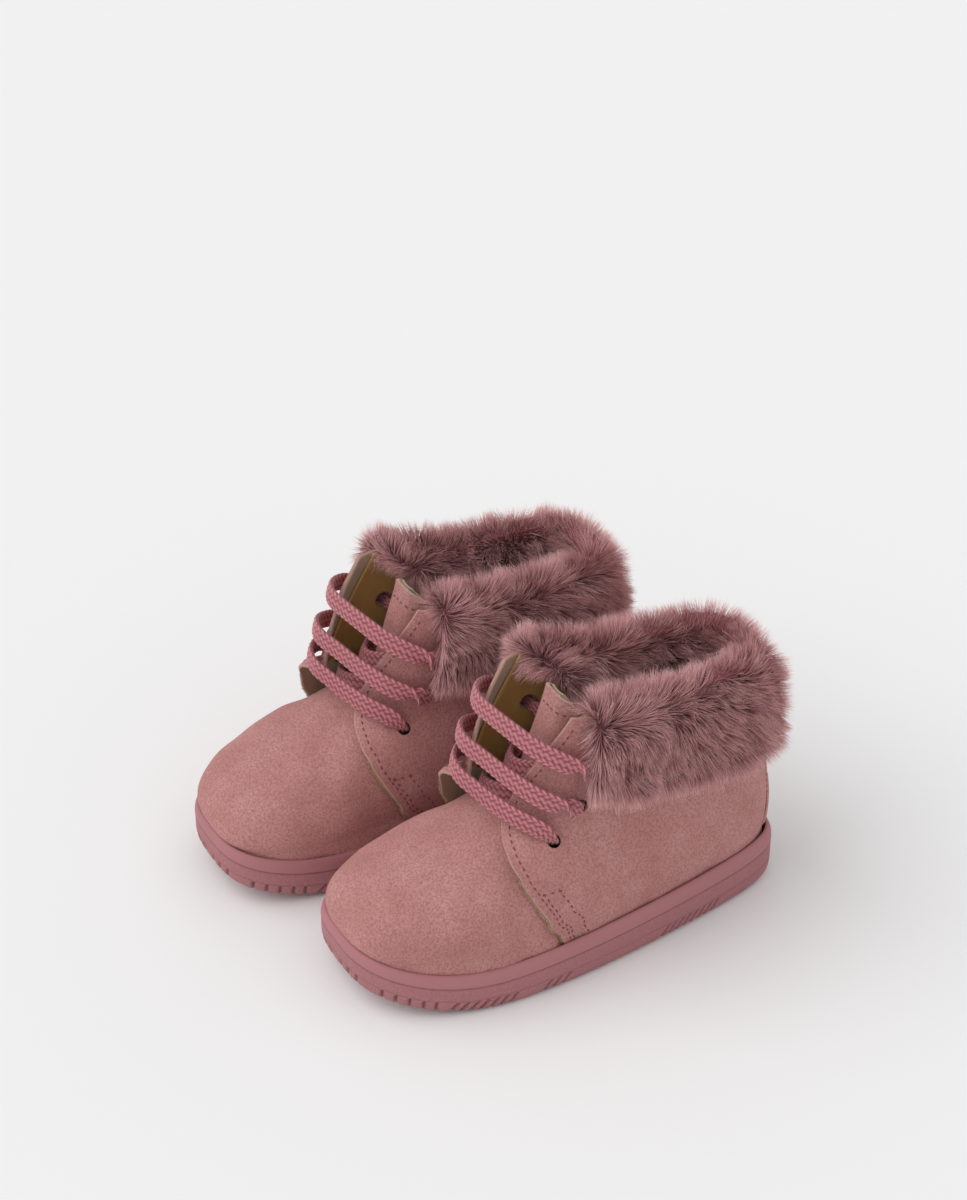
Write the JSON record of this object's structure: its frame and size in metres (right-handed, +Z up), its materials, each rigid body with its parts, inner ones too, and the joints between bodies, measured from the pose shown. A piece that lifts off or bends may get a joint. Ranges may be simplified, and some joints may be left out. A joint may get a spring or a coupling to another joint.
{
  "type": "baby bootie",
  "caption": "Pair of suede baby booties with cup soles, derby flaps laced over a tongue, and a folded faux-fur collar",
  "frame": {"origin": "middle of the bottom of the pair's outside box, on the floor", "axes": "+Z up; -Y is the way the toes point; +X is the side of the left bootie, so the right bootie is at -X and stands 12 mm nearer the toes"},
  "size_m": [0.121, 0.1478, 0.0852],
  "materials": {
    "suede": "napped dusty-pink suede",
    "sole_rubber": "matt moulded thermoplastic rubber, finely stippled lower wall",
    "lace_braid": "flat herringbone braid",
    "faux_fur": "dense short faux-fur pile on a knitted backing, pale tips",
    "facing_leather": "smooth tan lining leather behind the eyelets",
    "lining_textile": "felted textile lining",
    "insole_board": "pressed cellulose board",
    "stiffener": "thermoplastic stiffener sheet",
    "aglet": "moulded lace tip"
  },
  "bodies": {
    "left_bootie": {"left_outsole": "sole_rubber", "left_insole_board": "insole_board", "left_footbed": "lining_textile", "left_vamp_lining": "lining_textile", "left_toe_puff": "stiffener", "left_vamp": "suede", "left_heel_counter": "stiffener", "left_lateral_quarter": "suede", "left_lateral_facing_lining": "facing_leather", "left_lateral_quarter_lining": "lining_textile", "left_medial_quarter": "suede", "left_medial_facing_lining": "facing_leather", "left_medial_quarter_lining": "lining_textile", "left_heel_strip": "suede", "left_fur_cuff": "faux_fur", "left_lace": "lace_braid", "left_near_aglet": "aglet", "left_far_aglet": "aglet"},
    "left_tongue_flap": {"left_tongue": "suede", "left_tongue_lining": "lining_textile"},
    "right_bootie": {"right_outsole": "sole_rubber", "right_insole_board": "insole_board", "right_footbed": "lining_textile", "right_vamp_lining": "lining_textile", "right_toe_puff": "stiffener", "right_vamp": "suede", "right_heel_counter": "stiffener", "right_lateral_quarter": "suede", "right_lateral_facing_lining": "facing_leather", "right_lateral_quarter_lining": "lining_textile", "right_medial_quarter": "suede", "right_medial_facing_lining": "facing_leather", "right_medial_quarter_lining": "lining_textile", "right_heel_strip": "suede", "right_fur_cuff": "faux_fur", "right_lace": "lace_braid", "right_near_aglet": "aglet", "right_far_aglet": "aglet"},
    "right_tongue_flap": {"right_tongue": "suede", "right_tongue_lining": "lining_textile"}
  },
  "joints": [
    {"name": "left_tongue_fold", "type": "hinge", "parent": "left_bootie", "child": "left_tongue_flap", "pos_m": [0.03197, -0.00338, 0.0443], "axis": [-1, 0, 0], "range_deg": [0, 10]},
    {"name": "right_tongue_fold", "type": "hinge", "parent": "right_bootie", "child": "right_tongue_flap", "pos_m": [-0.03153, -0.01538, 0.0443], "axis": [-1, 0, 0], "range_deg": [0, 10]},
    {"name": "right_bootie_lift", "type": "slide", "parent": "left_bootie", "child": "right_bootie", "axis": [0, 0, 1], "range_m": [0, 0.15]}
  ]
}
